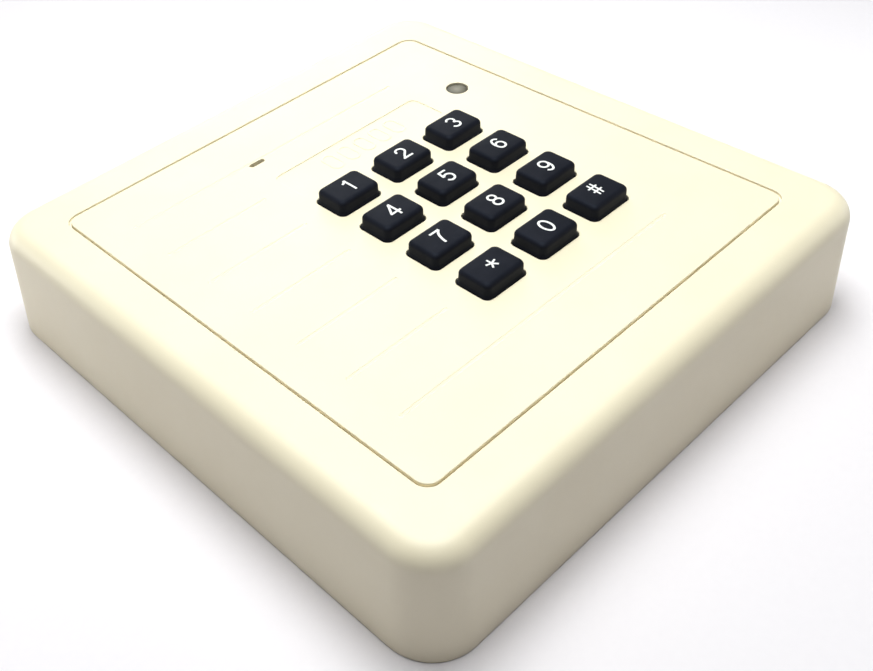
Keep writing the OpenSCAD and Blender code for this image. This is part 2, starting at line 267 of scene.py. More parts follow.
def keep(node, material, bevel=0.0):
    """A CAD node shown as it is, with a look and softened edges."""
    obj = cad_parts[node]
    obj.data.materials.clear()
    obj.data.materials.append(material)
    if bevel:
        modifier = obj.modifiers.new("soft edges", "BEVEL")
        modifier.width = bevel * MM
        modifier.segments = 2
        modifier.limit_method = "ANGLE"
        modifier.angle_limit = math.radians(40)


def islands(node):
    """Lowest and highest corner, in millimetres, of each separate solid of a CAD node."""
    bm = bmesh.new()
    bm.from_mesh(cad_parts[node].data)
    bmesh.ops.remove_doubles(bm, verts=bm.verts, dist=1e-7)
    left, found = set(bm.verts), []
    while left:
        stack, group = [left.pop()], []
        while stack:
            v = stack.pop()
            group.append(v.co.copy())
            for e in v.link_edges:
                o = e.other_vert(v)
                if o in left:
                    left.remove(o)
                    stack.append(o)
        low = Vector([min(c[i] for c in group) for i in range(3)])
        high = Vector([max(c[i] for c in group) for i in range(3)])
        found.append((low / MM, high / MM))
    bm.free()
    return sorted(found, key=lambda b: tuple(round(v, 2) for v in b[0]))


def node_places(node):
    """Where each solid of a node stands, seen from above."""
    return [plan(low, high)[0] for low, high in islands(node)]


def plus_sign(at, reach, w, low, high, turn, taper=0.6):
    """A cross-shaped cutter for a screw's recess, drawn in by the taper at its low end."""
    r = reach
    outline = [(w, w), (w, r), (-w, r), (-w, w), (-r, w), (-r, -w), (-w, -w), (-w, -r), (w, -r), (w, -w),
               (r, -w), (r, w)]
    return loft([[(x, y, z) for x, y in turned([(s * x, s * y) for x, y in outline], at, turn)]
                 for z, s in ((low, taper), (high, 1))])


def screws(name, places, z, sign, r, length, head_r, head_h, node, body="housing", pitch=0.7):
    """Threaded screws with their heads' undersides at height z and their shanks along sign times +Z."""
    shapes, cuts = [], []
    profile = [(head_r * 0.5, -head_h), (head_r * 0.8, -head_h + 0.06 * head_r),
               (head_r * 0.96, -head_h * 0.6), (head_r, -head_h * 0.35), (head_r, -0.06), (head_r - 0.06, 0),
               (r * 0.85, 0), (r * 0.85, 0.4)]
    along = 0.5
    while along < length - 1.2:
        profile += [(r * 0.82, along), (r, along + pitch * 0.5)]
        along += pitch
    profile += [(r * 0.8, length - 0.6), (r * 0.3, length)]
    low, high = sorted((z - sign * head_h * 0.45, z - sign * (head_h + 0.3)))
    for at in places:
        shapes.append(lathe([(q, z + sign * t) for q, t in profile], at, 28))
        cuts.append(plus_sign(at, head_r * 0.6, head_r * 0.11, low, high, random.uniform(0, 1.5),
                              0.6 if sign < 0 else 1.0))
    piece(name, joined(*shapes), zinc, "steel", node, body=body, cuts=cuts, angle=30)


# ---------------- materials

BLACK, WHITE = (0, 0, 0), (1, 1, 1)


def shaded(colour, factor):
    return tuple(factor * c for c in colour)


class Look:
    """A procedural material, built from the shader outwards."""

    def __init__(self, name, **shader):
        self.material = bpy.data.materials.new(name)
        self.material.use_nodes = True
        self.tree = self.material.node_tree
        self.shader = self.tree.nodes["Principled BSDF"]
        self.coords = self.add("ShaderNodeTexCoord").outputs["Object"]
        for socket, value in shader.items():
            self.shader.inputs[socket.replace("_", " ")].default_value = value

    def add(self, kind, **settings):
        node = self.tree.nodes.new(kind)
        for name, value in settings.items():
            setattr(node, name, value)
        return node

    def link(self, value, socket):
        if isinstance(value, bpy.types.NodeSocket):
            self.tree.links.new(value, socket)
        else:
            socket.default_value = value

    def stretched(self, scale):
        node = self.add("ShaderNodeMapping")
        self.link(self.coords, node.inputs["Vector"])
        node.inputs["Scale"].default_value = scale
        return node.outputs["Vector"]

    def noise(self, scale, detail=2.0, roughness=0.5, distortion=0.0, vector=None):
        """Noise from 0 to 1; scale is cycles per metre."""
        node = self.add("ShaderNodeTexNoise")
        self.link(vector or self.coords, node.inputs["Vector"])
        for socket, value in (("Scale", scale), ("Detail", detail), ("Roughness", roughness),
                              ("Distortion", distortion)):
            node.inputs[socket].default_value = value
        return node.outputs["Fac"]

    def ramp(self, factor, *stops):
        """A colour ramp through (position, colour) stops."""
        node = self.add("ShaderNodeValToRGB")
        self.link(factor, node.inputs["Fac"])
        elements = node.color_ramp.elements
        while len(elements) < len(stops):
            elements.new(0.5)
        for element, (position, colour) in zip(elements, stops):
            element.position = position
            element.color = (*colour, 1)
        return node.outputs["Color"]

    def rise(self, factor, low, high):
        """0 below low, 1 above high."""
        return self.ramp(factor, (low, BLACK), (high, WHITE))

    def mix(self, factor, *colours):
        node = self.add("ShaderNodeMix", data_type="RGBA")
        self.link(factor, node.inputs[0])
        for colour, socket in zip(colours, (6, 7)):
            self.link((*colour, 1) if isinstance(colour, tuple) else colour, node.inputs[socket])
        return node.outputs[2]

    def math(self, operation, *values):
        node = self.add("ShaderNodeMath", operation=operation)
        for value, socket in zip(values, node.inputs):
            self.link(value, socket)
        return node.outputs[0]

    def span(self, factor, low, high):
        """A factor from 0 to 1 turned into a value from low to high."""
        return self.math("MULTIPLY_ADD", factor, high - low, low)

    def bump(self, height, distance, strength=1.0, below=None):
        node = self.add("ShaderNodeBump")
        self.link(height, node.inputs["Height"])
        node.inputs["Distance"].default_value = distance * MM
        node.inputs["Strength"].default_value = strength
        if below:
            self.link(below, node.inputs["Normal"])
        return node.outputs["Normal"]

    def set(self, **sockets):
        for name, value in sockets.items():
            self.link(value, self.shader.inputs[name.replace("_", " ")])
        return self.material


def plastic(name, colour, shade, roughness=0.46, grain=0.012, grain_scale=3600):
    """Moulded plastic with a fine spark-eroded grain, slight mottling and handling marks."""
    look = Look(name, IOR=1.5)
    tint = look.mix(look.rise(look.noise(38, 4, 0.6), 0.35, 0.7), colour, shade)
    tint = look.mix(look.math("MULTIPLY", look.noise(900, 3, 0.6), 0.10), tint, shaded(shade, 0.9))
    rub = look.noise(60, 5, 0.7, 0.4, look.stretched((1.0, 2.2, 1.0)))
    shine = look.span(look.rise(rub, 0.3, 0.75), roughness - 0.05, roughness + 0.06)
    waves = look.bump(look.noise(22, 2), 0.05, 0.35)
    return look.set(Base_Color=tint, Roughness=shine,
                    Normal=look.bump(look.noise(grain_scale, 2, 0.65), grain, 0.8, waves))


def silicone(name):
    """Dead-matt blue-black silicone with faint clouding and specks of dust."""
    look = Look(name, IOR=1.41, Specular_IOR_Level=0.16, Specular_Tint=(0.62, 0.74, 1.0, 1))
    dust = look.rise(look.noise(2600, 2, 0.7), 0.66, 0.78)
    colour = look.mix(look.rise(look.noise(160, 4, 0.6), 0.3, 0.75),
                      (0.0055, 0.0060, 0.0100), (0.0095, 0.0102, 0.0160))
    colour = look.mix(look.math("MULTIPLY", dust, 0.07), colour, (0.09, 0.09, 0.10))
    return look.set(Base_Color=colour, Roughness=look.span(look.noise(420, 4, 0.6), 0.5, 0.64),
                    Normal=look.bump(look.noise(5200, 2, 0.6), 0.008, 0.7))


def printed_ink(name):
    """White screen-printed ink with a slightly uneven coat."""
    look = Look(name, IOR=1.5)
    coat = look.noise(1800, 4, 0.65)
    colour = look.mix(look.rise(coat, 0.4, 0.75), (0.90, 0.90, 0.90), (0.74, 0.75, 0.77))
    return look.set(Base_Color=colour, Roughness=look.span(coat, 0.42, 0.6),
                    Normal=look.bump(look.noise(4200, 2), 0.006, 0.6))


def smoked_lens(name):
    """Smoke-brown translucent plastic, paler over its middle where the lamp's frosting shows through, and
    darkening towards its rim with painted shade from the hole that it sits in.
    """
    look = Look(name, IOR=1.49, Transmission_Weight=0.35, Subsurface_Weight=0.1, Subsurface_Scale=0.001)
    low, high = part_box("status_lens")
    away = look.add("ShaderNodeVectorMath", operation="DISTANCE")
    look.link(look.coords, away.inputs[0])
    away.inputs[1].default_value = ((low.x + high.x) / 2, (low.y + high.y) / 2, high.z)
    # Painted shade: the colour darkens with distance from the middle towards the rim of the lens's hole,
    # with a noisy edge.
    painted_rim_shade = look.math("MULTIPLY_ADD", look.noise(1100, 4, 0.65), 0.0012, away.outputs["Value"])
    colour = look.ramp(look.math("MULTIPLY", painted_rim_shade, 330.0), (0.2, (0.34, 0.31, 0.24)),
                       (0.75, (0.15, 0.135, 0.09)), (0.95, (0.07, 0.062, 0.038)))
    return look.set(Base_Color=colour, Roughness=look.span(look.noise(1500, 3), 0.32, 0.5),
                    Normal=look.bump(look.noise(2400, 3), 0.01, 0.5))


def metal(name, colour, roughness=0.32, scratch=0.25):
    """Plated or drawn metal: brushed streaks, stains and fine scratches."""
    look = Look(name, Metallic=1.0)
    cloud = look.noise(300, 5, 0.65)
    streak = look.noise(1800, 3, 0.6, 0.0, look.stretched((1.0, 0.08, 1.0)))
    tint = look.mix(look.rise(cloud, 0.35, 0.7), colour, shaded(colour, 0.8))
    wear = look.math("MULTIPLY_ADD", streak, scratch, cloud)
    normal = look.bump(streak, 0.006, 0.5, look.bump(look.noise(5200, 2), 0.004, 0.6))
    return look.set(Base_Color=tint, Roughness=look.span(wear, roughness - 0.08, roughness + 0.2),
                    Normal=normal)


def solder_mask(name, colour, edge=(0.42, 0.36, 0.20)):
    """Circuit board: glossy mask over hatched copper on the faces, bare laminate on the cut edges."""
    look = Look(name, IOR=1.55, Coat_Weight=0.35, Coat_Roughness=0.12)
    weave = look.add("ShaderNodeTexWave", wave_type="BANDS", bands_direction="DIAGONAL")
    look.link(look.coords, weave.inputs["Vector"])
    weave.inputs["Scale"].default_value = 620
    weave.inputs["Distortion"].default_value = 0.4
    cloud = look.noise(70, 4, 0.6)
    copper = look.mix(look.rise(weave.outputs["Fac"], 0.45, 0.55), colour, shaded(colour, 1.14))
    mask = look.mix(look.math("MULTIPLY", cloud, 0.5), copper, shaded(colour, 0.6))
    split = look.add("ShaderNodeSeparateXYZ")
    look.link(look.add("ShaderNodeNewGeometry").outputs["Normal"], split.inputs[0])
    flat = look.math("GREATER_THAN", look.math("ABSOLUTE", split.outputs[2]), 0.7)
    layers = look.noise(1500, 2, 0.5, 0.0, look.stretched((0.2, 0.2, 6.0)))
    laminate = look.mix(layers, edge, shaded(edge, 0.75))
    return look.set(Base_Color=look.mix(flat, laminate, mask), Roughness=look.span(cloud, 0.28, 0.42),
                    Normal=look.bump(weave.outputs["Fac"], 0.01, 0.3))


cream = plastic("cream_plastic", (0.865, 0.788, 0.608), (0.84, 0.758, 0.576))
rubber = silicone("key_silicone")
ink = printed_ink("legend_ink")
lens_plastic = smoked_lens("lens_plastic")
zinc = metal("zinc_plate", (0.66, 0.66, 0.63))
tin = metal("tinned_metal", (0.78, 0.78, 0.76), 0.25)
gold = metal("gold_plate", (0.86, 0.62, 0.25), 0.24)
enamelled = metal("enamelled_copper", (0.60, 0.24, 0.10), 0.3)
solder = metal("solder", (0.72, 0.72, 0.72), 0.22, 0.1)
mask_green = solder_mask("solder_mask", (0.018, 0.15, 0.07))
track_green = plastic("masked_copper", (0.05, 0.29, 0.13), (0.04, 0.25, 0.11), 0.34, 0.002)
silk = printed_ink("board_ink")
nylon = plastic("natural_nylon", (0.72, 0.69, 0.60), (0.66, 0.63, 0.54), 0.5)
black_plastic = plastic("black_plastic", (0.022, 0.022, 0.023), (0.03, 0.03, 0.031), 0.45)
chip_black = plastic("moulding_compound", (0.025, 0.025, 0.028), (0.034, 0.034, 0.037), 0.62, 0.02, 5200)
chip_tan = plastic("ceramic_body", (0.42, 0.30, 0.17), (0.36, 0.25, 0.14), 0.5, 0.004)
sleeve_blue = plastic("capacitor_sleeve", (0.018, 0.03, 0.12), (0.022, 0.036, 0.14), 0.28, 0.003, 1500)
film_red = plastic("film_capacitor", (0.40, 0.055, 0.03), (0.34, 0.045, 0.025), 0.28, 0.01, 1400)
terminal_green = plastic("terminal_green", (0.035, 0.27, 0.09), (0.03, 0.23, 0.075), 0.42)
switch_red = plastic("switch_red", (0.48, 0.022, 0.016), (0.42, 0.018, 0.013), 0.34)
slider_white = plastic("slider_white", (0.82, 0.82, 0.78), (0.76, 0.76, 0.71), 0.4)
foam = plastic("foam_rubber", (0.03, 0.03, 0.031), (0.042, 0.042, 0.043), 0.8, 0.12, 2600)
carbon = plastic("carbon_rubber", (0.012, 0.012, 0.012), (0.02, 0.02, 0.02), 0.7, 0.02)
phosphor = plastic("led_phosphor", (0.80, 0.72, 0.36), (0.78, 0.68, 0.30), 0.4, 0.004)


# ---------------- housing shell

STEPS = 14  # points on a quarter circle of the large corners

HALF, DEPTH = mm_box("housing_shell")[1].x, mm_box("housing_shell")[1].z
PANEL_HALF, PANEL_LOW = mm_box("front_panel")[1].x, mm_box("front_panel")[0].z
CORNER_R, EDGE_R, WALL = 10.0, 4.2, 2.5
DRAFT = math.tan(math.radians(2.5))
PANEL_T, PANEL_R, GAP = 3.0, 2.7, 0.55
SEAM_LIP = 0.58  # depth of the narrow lip in the seam below the face
SEAT = DEPTH - PANEL_T  # height of the ledge that the panel rests on
LEDGE_INNER, LEDGE_OUTER = 49.6, 53.4
PEG_AT, BOSS_AT = corners(30, 48), corners(54, 54)
CENTRE = (0, 0)


def square(half, r, z, steps=STEPS):
    return ring(CENTRE, (half, half), r, z, steps)


def squares(*rows):
    """Squares from (half, corner radius, z)."""
    return [square(*row) for row in rows]


def leaning(half, r, *heights):
    """Squares that draw in with height by the draft."""
    return [square(half - DRAFT * z, r - DRAFT * z, z) for z in heights]


def wall_rings():
    """The outer wall from its foot to the flat face, leaning in by the draft and rounding over."""
    z_arc, lean, flat = DEPTH - EDGE_R, math.atan(DRAFT), HALF - CORNER_R
    reach = CORNER_R - DRAFT * z_arc - EDGE_R / math.cos(lean)
    rings = squares((HALF - 0.35, CORNER_R - 0.35, 0), (HALF - 0.08, CORNER_R - 0.08, 0.1))
    rings += leaning(HALF, CORNER_R, 0.35, 5, 10, 15, 19)
    return rings + [square(flat + x, x, z)
                    for x, z in arc((reach, z_arc), EDGE_R, math.degrees(lean), 90, 18)]


def housing_shell():
    """One closed skin: outer wall, face, window, ledge and inner wall, then sockets and bosses."""
    window, window_r, lip, foot = PANEL_HALF + GAP, PANEL_R + GAP, 0.16, PANEL_HALF + 0.1
    rings = wall_rings() + squares((54.5, 5.5, DEPTH))
    rings += [square(window + lip * y, window_r + lip * y, DEPTH - lip * x) for x, y in quarter()]
    rings += squares((window, window_r, DEPTH - SEAM_LIP), (foot, PANEL_R + 0.1, DEPTH - SEAM_LIP - 0.1),
                     (foot, PANEL_R + 0.1, SEAT), (LEDGE_INNER + 0.2, 2.2, SEAT),
                     (LEDGE_INNER, 2, SEAT - 0.2), (LEDGE_INNER, 2, SEAT - 2), (LEDGE_OUTER, 4, SEAT - 2),
                     (LEDGE_OUTER, 4, SEAT))
    inner, inner_r, z_arc = HALF - WALL, CORNER_R - WALL, SEAT - 2
    reach = inner_r - DRAFT * z_arc - 2
    rings += [square(inner - inner_r + x, x, z) for x, z in arc((reach, z_arc), 2, 90, 2.5, 6)]
    rings += leaning(inner, inner_r, 5.2) + squares((58.8, 5.3, 5.2), (58.8, 5.3, 3.7))
    rings += leaning(inner, inner_r, 3.7, 0.3) + squares((inner + 0.15, inner_r + 0.15, 0))
    shell = new_object("housing_shell_skin", loft(rings, closed=True))
    posts = turnings([(3.0, 14.5), (3.2, 14.7), (3.2, SEAT - 0.4), (3.0, SEAT - 0.2)], PEG_AT)
    posts += turnings([(3.5, 2.5), (3.5, SEAT + 0.5)], BOSS_AT)
    carve(shell, joined(*posts), "UNION")
    webs = []
    for x, y in BOSS_AT:
        points, faces = block((-0.8, 0, 4.4), (0.8, 7.2, SEAT + 0.4), 0.1)
        turn = Matrix.Rotation(math.atan2(-math.copysign(1, x), math.copysign(1, y)), 3, "Z")
        webs.append(([tuple(turn @ Vector(v) + Vector((x, y, 0))) for v in points], faces))
    holes = turnings([(1.55, SEAT - 6.4), (1.55, SEAT - 0.5), (1.85, SEAT), (2.2, SEAT + 0.3)], PEG_AT)
    holes += turnings([(1.3, 1.0), (1.3, 13)], BOSS_AT)
    piece("housing_shell_skin", shell, cream, "housing_plastic", "housing_shell", adds=webs, cuts=holes)


# ---------------- front panel

KEY_HALF, KEY_R, KEY_GAP = (5.65, 4.15), 1.3, 0.2
LENS_R = 2.45
SLOT_HALF = (1.95, 0.65)
LINE_HALF, LINE_DEPTH, LINE_LEFT = 0.32, 0.13, -43
LINES = [(-18, y) for y in (25.6, 12.95, 0.4, -12.2, -24.8)] + [(31, 38), (31, -37.2)]  # right end, y
LABEL, LABEL_DEPTH = ((-12, 20), (30.5, 29.9)), 0.2
RINGS_AT, RING_PITCH, RING_HALF = (10.2, 25.2), 4.7, (1.7, 3.0)


def lipped_cut(centre, half, r, low, lip, top=DEPTH):
    """A cutter for a hole whose upper edge is rounded by the lip's radius."""
    return loft([ring(centre, half, r, low)] + lip_rings(centre, half, r, top, lip))


def soft_groove(right, y):
    """A shallow groove with a rounded floor and rounded lips."""
    rings = []
    for out, z in ((-0.17, -LINE_DEPTH), (-0.06, -LINE_DEPTH * 0.8), (0, -LINE_DEPTH * 0.45),
                   (0.06, -LINE_DEPTH * 0.12), (0.16, 0), (0.5, 0.4)):
        w = LINE_HALF + out
        rings.append(ring(((LINE_LEFT + right) / 2, y), ((right - LINE_LEFT) / 2 + out, w), w * 0.98,
                          DEPTH + z, 4))
    return loft(rings)


def raised_ring(x, y):
    """One of the plain raised rings in the label field."""
    profile = above(DEPTH, (0, -0.45), (0, -0.2), (0.05, -0.12), (0.13, -0.1), (0.37, -0.1), (0.45, -0.12),
                    (0.5, -0.2), (0.5, -0.45))
    return loft(stack((x, y), RING_HALF, RING_HALF[0] - 0.05, profile, 6), closed=True)


def front_panel():
    half, r = PANEL_HALF, PANEL_R
    rings = [square(half - 0.15, r - 0.15, SEAT, 8), square(half, r, SEAT + 0.15, 8)]
    rings += edge_rings(CENTRE, (half, half), r, DEPTH - 0.18, 0.18, 4)
    panel = new_object("front_panel_skin", loft(rings))
    screws_at = node_places("panel_screws")
    posts = turnings([(1.2, PANEL_LOW), (1.5, PANEL_LOW + 0.5), (1.5, SEAT + 1)], PEG_AT)
    posts.append(lathe([(1.3, 15.15), (1.5, 15.4), (1.5, SEAT + 1)], spot("tamper_plunger")))
    posts += turnings([(2.3, 21.0), (2.4, 21.1), (2.4, SEAT + 1)], screws_at)
    carve(panel, joined(*posts), "UNION")
    sunk = [soft_groove(right, y) for right, y in LINES]
    sunk.append(lipped_cut(*plan(*LABEL), 1.5, DEPTH - LABEL_DEPTH, 0.12))
    carve(panel, joined(*sunk))
    raised = [raised_ring(RINGS_AT[0] + i * RING_PITCH, RINGS_AT[1]) for i in range(-2, 3)]
    cuts = turnings([(1.05, 20), (1.05, DEPTH - 1.2)], screws_at)
    cuts += [lipped_cut(spot("key_" + k), grown(KEY_HALF, KEY_GAP), KEY_R + KEY_GAP, SEAT - 1, 0.14)
             for k in KEYS]
    outline = ((0.1, SEAT - 1), (0.1, DEPTH - 0.05), (0.12, DEPTH - 0.02), (0.16, DEPTH), (0.6, DEPTH + 0.4))
    cuts.append(lathe([(LENS_R + out, z) for out, z in outline], spot("status_lens")))
    cuts.append(lipped_cut(spot("beeper"), SLOT_HALF, 0.6, SEAT - 1, 0.14))
    piece("front_panel_skin", panel, cream, "housing_plastic", "front_panel", body="panel", adds=raised,
          cuts=cuts)


# ---------------- keys

KEY_INSET = 0.25  # of the upright sides from the foot
KEY_RIM, KEY_DROP = 1.05, 0.95  # how far the top's soft edge reaches inward and down
KEY_DOME = 0.08
KEY_FLAT = grown(KEY_HALF, -(KEY_INSET + 0.02 + KEY_RIM))  # half size of the top inside its soft edge
STROKE, FINE_STROKE = 0.48, 0.38  # width of the printed lines on digits and on # and *
LEGEND_SHIFT = {"star": (0.25, 0.1), "hash": (-0.15, 0.35)}
LEGEND_SCALE = 0.99


def key(name):
    low, high = mm_box("key_" + name)
    at, top, own = plan(low, high)[0], high.z - KEY_DOME, "key_" + name
    profile = above(low.z, (0.12, 0), (0, 0.12))
    profile += above(DEPTH, (0, -0.02), (0.02, 0.06), (0.06, 0.14), (0.11, 0.24), (0.17, 0.38), (0.22, 0.56),
                     (KEY_INSET, 0.8))
    profile.append((KEY_INSET + 0.01, top - KEY_DROP - 0.1))
    profile += [(KEY_INSET + 0.02 + KEY_RIM * x, top - KEY_DROP * y) for x, y in quarter(10)]
    rings = [ring(at, grown(KEY_HALF, -d), max(KEY_R - 0.25 * d, 0.7), z) for d, z in profile]
    for share in (0.9, 0.75, 0.55, 0.35, 0.15, 0.04):
        rings.append(ring(at, (KEY_FLAT[0] * share, KEY_FLAT[1] * share), 0.95 * share,
                          high.z - KEY_DOME * share ** 2))
    show(own + "_cap", [loft(rings)], rubber, "key_rubber", own, body=own, angle=60)


def legend_strokes():
    """Centrelines of the keys' legends, about their middles; one that ends where it starts is closed."""
    digits = {
        "0": [arc((0, 0), (1.05, 1.75), 90, 450, 40)],
        "1": [[(0.38, -2.05), (0.38, 1.98)], [(0.38, 1.9)] + arc((-0.75, 1.9), (0.95, 0.8), -20, -90, 8)],
        "2": [arc((0.0, 0.72), (1.02, 1.03), 185, -38, 22) + [(-0.35, -0.95), (-0.98, -1.7)],
              [(-1.33, -1.76), (1.32, -1.76)]],
        "3": [arc((-0.02, 0.86), (0.92, 0.89), 165, -85, 22),
              arc((-0.02, -0.87), (1.04, 0.90), 85, -165, 24)],
        "4": [[(0.52, -2.05), (0.52, 2.05)], [(0.45, 1.85), (-1.18, -0.78)],
              [(-1.42, -0.88), (1.30, -0.88)]],
        "5": [[(1.12, 1.76), (-0.86, 1.76)], [(-0.74, 1.95), (-1.0, -0.02)],
              arc((0.0, -0.62), (1.08, 1.13), 150, -155, 28)],
        "6": [arc((0.03, -0.68), (1.02, 1.08), 90, 450, 32),
              arc((0.12, -0.05), (1.15, 1.80), 42, 205, 22)],
        "7": [[(-1.25, 1.76), (1.25, 1.76)], arc((1.75, -2.15), (2.25, 3.9), 102, 177, 14)],
        "8": [arc((0, 0.92), (0.86, 0.84), 90, 450, 30), arc((0, -0.83), (1.05, 0.93), 90, 450, 32)]}
    digits["9"] = [[(-x, -y) for x, y in stroke] for stroke in digits["6"]]
    star = [[(0, 0), p] for p in arc((0, 0), 1.3, 90, 450, 5)[:-1]]
    uprights = [[(x - 0.16, -1.85), (x + 0.16, 1.85)] for x in (-0.46, 0.48)]
    return dict(digits, star=star, hash=uprights + [[(-1.25, y), (1.25, y)] for y in (-0.66, 0.66)])


def skin(rows, closed=False):
    """Faces round four rows of points along a strip, its two ends closed unless it is a loop."""
    count = len(rows[0])
    faces = []
    for r in range(4):
        a, b = r * count, (r + 1) % 4 * count
        faces += [(a + i, a + (i + 1) % count, b + (i + 1) % count, b + i)
                  for i in range(count if closed else count - 1)]
    if not closed:
        faces += [(0, count, 2 * count, 3 * count), tuple(r * count + count - 1 for r in (3, 2, 1, 0))]
    return [p for row in rows for p in row], faces


def strip(points, width, z, thick=0.04, mitred=True):
    """A flat strip along points; z is the height of its underside, or gives it from x and y."""
    closed = math.dist(points[0], points[-1]) < 1e-6
    points = [Vector(p) for p in (points[:-1] if closed else points)]
    last, left, right = len(points) - 1, [], []
    for i, here in enumerate(points):
        a = points[i - 1] if closed or i else here
        b = points[(i + 1) % len(points)] if closed or i < last else here
        d, reach = (b - a).normalized(), width / 2
        if mitred and 0 < i < last:
            turn = (here - a).normalized().dot((b - here).normalized())
            reach /= math.sqrt(max((1 + turn) / 2, 0.25))
        n = Vector((-d.y, d.x)) * reach
        left.append(here + n)
        right.append(here - n)
    height = z if callable(z) else lambda x, y: z
    rows = ((left, 0), (left, thick), (right, thick), (right, 0))
    return skin([[(v.x, v.y, height(v.x, v.y) + up) for v in row] for row, up in rows], closed)


def resampled(stroke, step=0.2):
    """The same stroke with points at most a step apart, so that the ink can follow the key's dome."""
    points = [stroke[0]]
    for a, b in zip(stroke, stroke[1:]):
        parts = max(1, math.ceil(math.dist(a, b) / step))
        points += [(a[0] + (b[0] - a[0]) * i / parts, a[1] + (b[1] - a[1]) * i / parts)
                   for i in range(1, parts + 1)]
    return points


def legend(name):
    """Ink that sinks a little into the key's dome and stands just proud of it."""
    high, (cx, cy) = mm_box("key_" + name)[1], spot("key_" + name)
    dx, dy = LEGEND_SHIFT.get(name, (0, -0.1))

    def under(x, y):
        share = max(abs(x - cx) / KEY_FLAT[0], abs(y - cy) / KEY_FLAT[1])
        return high.z - KEY_DOME * min(share, 1.0) ** 2 - 0.04

    width = FINE_STROKE if name in ("star", "hash") else STROKE
    strips = []
    for i, stroke in enumerate(legend_strokes()[name]):
        points = [(cx + dx + LEGEND_SCALE * x, cy + dy + LEGEND_SCALE * y) for x, y in resampled(stroke)]
        strips.append(strip(points, width, lambda x, y, rise=0.003 * i: under(x, y) + rise, 0.06, False))
    show("legend_" + name, strips, ink, "key_rubber", body="key_" + name)


# ---------------- status lens

def status_lens():
    top = mm_box("status_lens")[1].z
    profile = [(LENS_R + 0.95, SEAT - 0.5), (LENS_R + 0.95, SEAT), (LENS_R, SEAT), (LENS_R, top - 0.25)]
    profile += arc((LENS_R - 0.25, top - 0.25), (0.25, 0.2), 15, 90, 5)
    profile += [(1.5, top - 0.02), (0.7, top), (0.1, top)]
    lens = lathe(profile, spot("status_lens"))
    show("status_lens_body", [lens], lens_plastic, "lens_smoke", "status_lens", body="panel")


# ---------------- back plate and seal

BACK_T = 2.5
ENTRY_AT, ENTRY_R = (0, -24), 9.5
SLOT_W, SLOT_LENGTH, SLOT_SPACING = 4.2, 8.0, 83.3
POST_AT = corners(42, 31)
BOARD_LOW, BOARD_TOP = 8.0, 9.6


def through_cut(centre, half, r, low, high, lip):
    """A cutter through a plate with both of its rims rounded."""
    under = lip_rings(centre, half, r, low, lip, way=-1)
    return loft(under[::-1] + lip_rings(centre, half, r, high, lip))


def back_plate():
    half, r = mm_box("back_plate")[1].x, 7.2
    rings = squares((half - 0.3, r - 0.3, 0), (half - 0.1, r - 0.1, 0.08), (half, r, 0.3),
                    (half, r, BACK_T - 0.15), (half - 0.15, r - 0.15, BACK_T))
    adds = turnings(above(BACK_T, (3.6, -0.5), (3.35, 0.1), (3.05, 0.5))
                    + above(BOARD_LOW, (3, -0.2), (2.8, 0)), POST_AT, 32)
    lip = above(BACK_T, (ENTRY_R + 1.5, -0.5), (ENTRY_R + 1.5, 1.0), (ENTRY_R + 1.3, 1.2))
    adds.append(lathe(lip, ENTRY_AT, 64))
    cuts = [through_cut((0, y), (SLOT_W / 2, SLOT_LENGTH / 2), SLOT_W / 2 - 0.001, 0, BACK_T, 0.25)
            for y in (-SLOT_SPACING / 2, SLOT_SPACING / 2)]
    entry = ((1.0, -0.6), (0.5, 0), (0.15, 0.15), (0, 0.5), (0, BACK_T + 1.0), (0.2, BACK_T + 1.2),
             (0.6, BACK_T + 1.6))
    cuts.append(lathe([(ENTRY_R + out, z) for out, z in entry], ENTRY_AT, 64))
    cuts += turnings([(3.4, -0.3), (3.1, 0), (3.1, 1.5), (1.4, 1.5), (1.4, BACK_T + 0.3)], BOSS_AT, 32)
    cuts += turnings([(1.15, BACK_T + 0.5), (1.15, BOARD_LOW - 0.2), (1.5, BOARD_LOW + 0.2)], POST_AT, 24)
    cuts += [ring_groove(p) for p in ((-36, 34), (36, 34), (-34, -34), (34, -34), (-40, 0), (40, 0))]
    cuts.append(blank_field((0, 14), (21, 9.5), 1.5))
    piece("back_plate_body", loft(rings), cream, "housing_plastic", "back_plate", adds=adds, cuts=cuts)


def ring_groove(at):
    """The faint witness ring that an ejector pin leaves on the outside of the back."""
    outline = ((2.6, -0.1), (2.75, 0.06), (2.9, 0.06), (3.05, -0.1))
    return loft([circle(at, r, z, 36) for r, z in outline], closed=True)


def blank_field(centre, half, r):
    """A shallow blank field on the back, where a rating plate would go."""
    return loft(stack(centre, half, r, [(-0.4, -0.4), (-0.05, 0), (0, 0.05), (0, 0.18), (0.1, 0.25)]))


def rear_seal():
    rings = squares((59.05, 5.5, BACK_T), (60.5, 6.9, BACK_T), (60.58, 7.0, BACK_T + 0.3),
                    (60.58, 7.0, 3.5), (60.4, 6.8, 3.7), (59.1, 5.6, 3.7), (58.92, 5.4, 3.5),
                    (58.92, 5.4, BACK_T + 0.3))
    show("rear_seal_ring", [loft(rings, closed=True)], foam, "seal_rubber", "rear_seal")


# ---------------- antenna

COIL_LOW, COIL_TOP = 2.5, 13.0
LEAD_Y = (6, 10)


def coil(outline):
    """A closed ring round the board from (half, z) points."""
    return loft([square(half, half - 33.5, z, 16) for half, z in outline], closed=True)


def coil_bobbin():
    outline = [(51.5, 2.7), (51.7, 2.5), (57.8, 2.5), (58, 2.7), (58, 3.5), (57.8, 3.7), (52.8, 3.7),
               (52.7, 3.8), (52.7, 11.7), (52.8, 11.8), (57.8, 11.8), (58, 12.0), (58, 12.8), (57.8, 13),
               (51.7, 13), (51.5, 12.8)]
    notch = block((-58.6, LEAD_Y[0] - 1, COIL_LOW + 4.2), (-51, LEAD_Y[1] + 1, COIL_TOP + 1), 0.02)
    piece("coil_bobbin_frame", coil(outline), nylon, "bobbin_plastic", "coil_bobbin", cuts=[notch])


